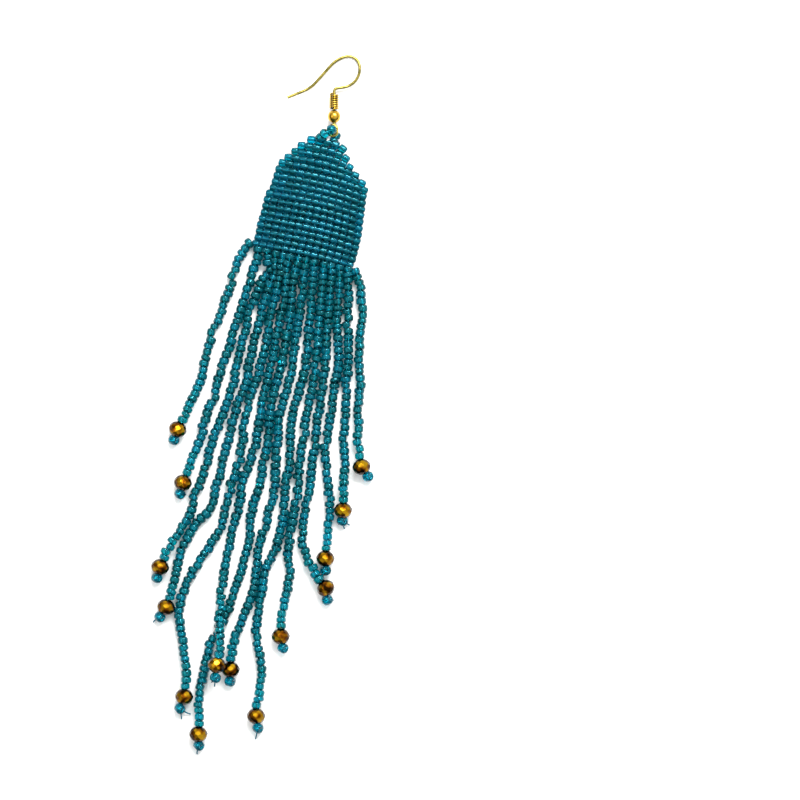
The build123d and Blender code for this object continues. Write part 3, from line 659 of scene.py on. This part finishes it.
def strand_places(beads, walk, chance):
    """Places and tones of the seed beads along a strand, each a little beside the thread."""
    places, distance = [], 0.0
    for length in bead_lengths(beads, walk.reach[-1] - BARE_END, chance):
        middle, direction = walk.at(distance + length / 2)
        side = direction.cross(Vector((0, 0, 1))).normalized()
        shift, width = chance.uniform(-beads.sway, beads.sway), chance.uniform(*BEAD_WIDTHS)
        if chance.random() < beads.loose:
            shift, width = chance.choice((-1, 1)) * chance.uniform(*LOOSE_SHIFTS), LOOSE_WIDTH
        middle = middle + side * shift
        # Narrow or wide, the bead rests at the same height
        middle.z -= beads.diameter / 2 * (1 - width)
        place = bead_place(middle, direction, chance, BEAD_TILT, width, length / beads.length * BEAD_FILL)
        places.append((place, chance.random()))
        distance += length
    return places


def knot_line(place, size, turn):
    """Points of a small trefoil knot; 1.6 units of its formula make its size."""
    angles = [k * math.tau / 24 for k in range(25)]
    line = [Vector((math.sin(a) + 2 * math.sin(2 * a), math.cos(a) - 2 * math.cos(2 * a), -math.sin(3 * a)))
            for a in angles]
    return [place + turn @ (point * size / 1.6) for point in line]


def show_piece(name, mesh, material, slot, *nodes):
    """Adds a finished piece to the scene in place of its nodes."""
    mesh.materials.append(material)
    piece = bpy.data.objects.new(name, mesh)
    bpy.context.scene.collection.objects.link(piece)
    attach(piece, "root")
    if nodes:
        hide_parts(*nodes)


def show_beads(name, beads, straight, places, glass, *nodes):
    """Adds a piece of seed beads in place of its nodes."""
    mesh = bead_mesh(name, (beads.diameter, beads.length, beads.hole, straight), places)
    show_piece(name, mesh, glass, "seed_glass", *nodes)


def show_threads(name, lines, radius, thread):
    """Adds a piece of thread along smooth lines."""
    show_piece(name, mesh_of(nurbs_curve(name, lines, radius), name), thread, "seed_glass")


class EARRING_OT_fringe(bpy.types.Operator):
    """Strings the seed beads of the fringe on their thread, with the tip beads"""
    bl_idname = "earring.fringe"
    bl_label = "Fringe"

    def execute(self, context):
        beads = context.scene.earring_beads
        glass = shared_material("teal_seed_glass", seed_glass, beads.glass[:], beads.deep_glass_and_shade[:])
        thread = shared_material("dyed_nylon_thread", dyed_thread, beads.thread_dye[:])
        threads = []
        for number in range(1, len(STRAND_ROUTES) + 1):
            chance = random.Random(beads.seed * 100 + number)
            walk = Walk(guide(strand_route(number, beads.diameter / 2)))
            places = strand_places(beads, walk, chance)
            tip = tip_middle(number)
            # The tip bead's hole points up and aside
            outward = (tip - faceted_middle(number)).normalized()
            aside = Vector((-outward.y, outward.x, 0.9)).normalized()
            place = bead_place(tip, aside, chance, TIP_TILT, 1.0, TIP_LENGTH)
            places.append((place, chance.uniform(*TIP_TONES)))
            show_beads(f"fringe_beads_{number:02d}", beads, ROUND_BEAD, places, glass, f"strand_{number:02d}")
            steps = [walk.reach[-1] * k / THREAD_STEPS for k in range(THREAD_STEPS + 1)]
            threads.append([walk.at(step)[0] for step in steps] + [tip])
        show_threads("fringe_thread", threads, beads.thread / 2, thread)
        return {"FINISHED"}


class EARRING_OT_thread_ends(bpy.types.Operator):
    """Leaves the cut ends of thread that show beyond the tip beads, with knots there and on the cap"""
    bl_idname = "earring.thread_ends"
    bl_label = "Knots and Thread Ends"

    def execute(self, context):
        beads = context.scene.earring_beads
        thread = shared_material("dark_nylon_thread", dyed_thread, beads.warp_dye[:])
        pale = shared_material("undyed_nylon_thread", dyed_thread, beads.undyed[:])
        chance = random.Random(beads.seed)
        tails, knots = [], []
        for strand, (x, y) in THREAD_TAILS:
            tip = tip_middle(strand)
            end = Vector((x, y, max(tip.z - TAIL_SINK, TAIL_REST)))
            run = end - tip
            bend = Vector((-run.y, run.x, 0)) * chance.uniform(-TAIL_BEND, TAIL_BEND)
            start = tip + run.normalized() * TAIL_START
            tails.append([start, start + (end - start) * 0.5 + bend, end])
            knots.append(tip + run.normalized() * TAIL_KNOT)
        show_threads("thread_tails", tails, beads.thread / 2, thread)
        for name, places, size, material in (
            ("tail_knots", knots[::2], TAIL_KNOT_SIZE, thread),
            ("cap_knots", [Vector(place) for place in PALE_KNOTS], CAP_KNOT_SIZE, pale),
        ):
            loops = []
            for place in places:
                turn = Matrix.Rotation(chance.uniform(0, 6), 3, "Z")
                turn = turn @ Matrix.Rotation(chance.uniform(0, 3), 3, "X")
                loops.append(knot_line(place, size, turn))
            show_threads(name, loops, beads.thread * KNOT_THREAD, material)
        return {"FINISHED"}


class EARRING_OT_woven_cap(bpy.types.Operator):
    """Weaves the cap from rows of seed beads with weft threads in them and warp threads across them"""
    bl_idname = "earring.woven_cap"
    bl_label = "Woven Cap"

    def execute(self, context):
        beads, cap = context.scene.earring_beads, context.scene.earring_cap
        glass = shared_material("teal_cap_glass", seed_glass, cap.glass[:], cap.deep_glass_and_shade[:])
        thread = shared_material("dyed_nylon_thread", dyed_thread, beads.thread_dye[:])
        dark_thread = shared_material("dark_nylon_thread", dyed_thread, beads.warp_dye[:])
        chance = random.Random(beads.seed + 1)
        inner, ends, wefts, warps = [], [], [], []
        for index, row in enumerate(CAP_ROWS):
            left, right = row[1:3]
            count = round((right - left) / cap.column)
            step = (right - left) / count
            height = CAP_MIDDLE + (cap.stagger if index % 2 else -cap.stagger) / 2
            for k in range(count):
                start = row_point(row, left + k * step, height)
                end = row_point(row, left + (k + 1) * step, height)
                middle = (start + end) / 2 + Vector((0, 0, chance.uniform(*CAP_LIFTS)))
                length = step / cap.column * cap.length * chance.uniform(*CAP_LENGTHS)
                width = max(row_spacing(index) * CAP_FILL, cap.diameter) * chance.uniform(*CAP_WIDTHS)
                place = bead_place(middle, end - start, chance, CAP_TILT, width / beads.diameter,
                                   length / beads.length)
                (ends if k in (0, count - 1) else inner).append((place, chance.random()))
            for side in (-CAP_THREAD_OFFSET, 0, CAP_THREAD_OFFSET):
                wefts.append([row_point(row, left + (right - left) * k / WEFT_STEPS, height + side)
                              for k in range(WEFT_STEPS + 1)])
        for k in range(1, WARP_COLUMNS):
            for side in (CAP_THREAD_OFFSET, -CAP_THREAD_OFFSET):
                warps.append([row_point(row, row[1] + (row[2] - row[1]) * k / WARP_COLUMNS, CAP_MIDDLE + side)
                              for row in CAP_ROWS[-WARP_ROWS:]])
        show_beads("cap_beads", beads, TUBE_BEAD, inner, glass, "woven_cap")
        show_beads("cap_end_beads", beads, ROUND_BEAD, ends, glass)
        show_threads("cap_thread", wefts, beads.thread / 2, thread)
        show_threads("cap_warps", warps, WARP_RADIUS, dark_thread)
        return {"FINISHED"}


class EARRING_OT_hanging_loop(bpy.types.Operator):
    """Strings the loop of seed beads that holds the ear hook's eye"""
    bl_idname = "earring.hanging_loop"
    bl_label = "Hanging Loop"

    def execute(self, context):
        beads = context.scene.earring_beads
        glass = shared_material("teal_seed_glass", seed_glass, beads.glass[:], beads.deep_glass_and_shade[:])
        thread = shared_material("dyed_nylon_thread", dyed_thread, beads.thread_dye[:])
        chance = random.Random(beads.seed + 2)
        places = []
        for k, (middle, way) in enumerate(LOOP_BEADS):
            place = bead_place(Vector(middle), Vector(way), chance, LOOP_TILT, 1.0, LOOP_LENGTH)
            places.append((place, LOOP_TONE + LOOP_TONE_STEP * k))
        show_beads("loop_beads", beads, ROUND_BEAD, places, glass, "hanging_loop")
        line = [Vector(middle) for middle, way in LOOP_BEADS]
        line.insert(BEADS_BEFORE_TURN, Vector(LOOP_TURN))
        line = [cap_point(*LOOP_START), *line, cap_point(*LOOP_END)]
        show_threads("loop_thread", [line], beads.thread / 2, thread)
        return {"FINISHED"}


class EARRING_OT_faceted_beads(bpy.types.Operator):
    """Gives the faceted beads their coat of vaporised metal"""
    bl_idname = "earring.faceted_beads"
    bl_label = "Faceted Beads"

    def execute(self, context):
        colours = context.scene.earring_faceted
        coat = shared_material("gold_coated_cut_glass", coated_glass, colours.gold[:], colours.bronze[:],
                               colours.rim[:])
        for name, bead in NODES.items():
            if name.startswith("rondelle_"):
                bead.data.materials.clear()
                bead.data.materials.append(coat)
        return {"FINISHED"}


class EARRING_OT_ear_hook(bpy.types.Operator):
    """Plates the ear hook's wire, coil and ball with gold"""
    bl_idname = "earring.ear_hook"
    bl_label = "Ear Hook"

    def execute(self, context):
        colours = context.scene.earring_hook
        wire = shared_material("gold_plated_brass_wire", plated_wire, colours.plating[:], colours.worn[:])
        trim = shared_material("gold_plated_brass_trim", plated_wire, colours.trim[:], colours.worn_trim[:])
        low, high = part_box("hook_coil")
        coil = shared_material("groove_shaded_brass_coil", plated_wire, colours.trim[:], colours.worn_trim[:],
                               ((low + high) / 2, COIL_AXIS, colours.groove_shade[:]))
        for name, plating in (("ear_hook", wire), ("hook_coil", coil), ("hook_ball", trim)):
            NODES[name].data.materials.clear()
            NODES[name].data.materials.append(plating)
        return {"FINISHED"}


class EARRING_OT_stage(bpy.types.Operator):
    """Sets the pale table, the soft lights and the camera straight above"""
    bl_idname = "earring.stage"
    bl_label = "Stage"

    def execute(self, context):
        scene, stage = context.scene, context.scene.earring_stage
        bm = bmesh.new()
        bmesh.ops.create_circle(bm, cap_ends=True, segments=96, radius=stage.radius)
        mesh = bpy.data.meshes.new("table_top")
        bm.to_mesh(mesh)
        bm.free()
        mesh.materials.append(shared_material("pale_table_board", table_board, stage.table[:]))
        table = bpy.data.objects.new("table_top", mesh)
        table.location.z = CAD_LOW.z
        scene.collection.objects.link(table)

        for name, place, size, power in (
            ("key_light", KEY_PLACE, KEY_SIZE, stage.key),
            ("fill_light", FILL_PLACE, FILL_SIZE, stage.key * FILL_SHARE),
        ):
            light = bpy.data.lights.new(name, "AREA")
            light.shape = "RECTANGLE"
            light.size, light.size_y = size
            light.energy = power
            lamp = bpy.data.objects.new(name, light)
            lamp.location = place
            lamp.rotation_euler = (-Vector(place)).to_track_quat("-Z", "Y").to_euler()
            scene.collection.objects.link(lamp)

        world = bpy.data.worlds.new("soft_room")
        scene.world = world
        world.use_nodes = True
        tree = world.node_tree
        tree.nodes.clear()
        way = node(tree, "ShaderNodeTexCoord").outputs["Generated"]
        facing = node(tree, "ShaderNodeVectorMath", {0: way, 1: SKY_WAY}, operation="DOT_PRODUCT")
        ramp = node(tree, "ShaderNodeValToRGB", {"Fac": facing.outputs["Value"]})
        dim, bright = ramp.color_ramp.elements
        dim.position, dim.color = 0.1, rgba(SKY_DIM)
        bright.position, bright.color = 0.85, rgba(SKY_BRIGHT)
        sky = node(tree, "ShaderNodeBackground", {"Color": ramp.outputs[0], "Strength": stage.sky})
        node(tree, "ShaderNodeOutputWorld", {"Surface": sky.outputs[0]})

        optics = bpy.data.cameras.new("camera")
        optics.lens = LENS
        optics.sensor_width = SENSOR
        optics.clip_start = 0.01
        camera = bpy.data.objects.new("camera", optics)
        camera.location = CAMERA_PLACE
        scene.collection.objects.link(camera)
        scene.camera = camera
        scene.view_settings.view_transform = "Standard"
        return {"FINISHED"}


class EARRING_PT_panel(bpy.types.Panel):
    """Lists the pieces of the earring and their settings"""
    bl_idname = "EARRING_PT_panel"
    bl_label = "Beaded Earring"
    bl_space_type = "VIEW_3D"
    bl_region_type = "UI"
    bl_category = "Earring"

    def draw(self, context):
        for name, group, operators in SECTIONS:
            box = self.layout.box()
            box.label(text=name)
            settings = getattr(context.scene, group)
            for key in settings.bl_rna.properties.keys():
                if key not in ("rna_type", "name"):
                    box.prop(settings, key)
            for operator in operators:
                box.operator(operator.bl_idname)


# The panel's boxes: heading, settings on the scene and operators
SECTIONS = [
    ("Fringe and loop", "earring_beads",
     (EARRING_OT_fringe, EARRING_OT_thread_ends, EARRING_OT_hanging_loop)),
    ("Woven cap", "earring_cap", (EARRING_OT_woven_cap,)),
    ("Faceted beads", "earring_faceted", (EARRING_OT_faceted_beads,)),
    ("Ear hook", "earring_hook", (EARRING_OT_ear_hook,)),
    ("Stage", "earring_stage", (EARRING_OT_stage,)),
]
GROUPS = {
    "earring_beads": EARRING_PG_beads,
    "earring_cap": EARRING_PG_cap,
    "earring_faceted": EARRING_PG_faceted,
    "earring_hook": EARRING_PG_hook,
    "earring_stage": EARRING_PG_stage,
}


def operator_classes():
    """Operators of all sections, in the panel's order."""
    return [operator for name, group, operators in SECTIONS for operator in operators]


def register():
    for group in GROUPS.values():
        bpy.utils.register_class(group)
    for name, group in GROUPS.items():
        setattr(bpy.types.Scene, name, PointerProperty(type=group))
    for operator in operator_classes():
        bpy.utils.register_class(operator)
    bpy.utils.register_class(EARRING_PT_panel)


def unregister():
    bpy.utils.unregister_class(EARRING_PT_panel)
    for operator in reversed(operator_classes()):
        bpy.utils.unregister_class(operator)
    for name, group in GROUPS.items():
        delattr(bpy.types.Scene, name)
        bpy.utils.unregister_class(group)


def main():
    register()
    bpy.ops.earring.woven_cap()
    bpy.ops.earring.fringe()
    bpy.ops.earring.thread_ends()
    bpy.ops.earring.hanging_loop()
    bpy.ops.earring.faceted_beads()
    bpy.ops.earring.ear_hook()
    bpy.ops.earring.stage()


if __name__ == "__main__":
    main()
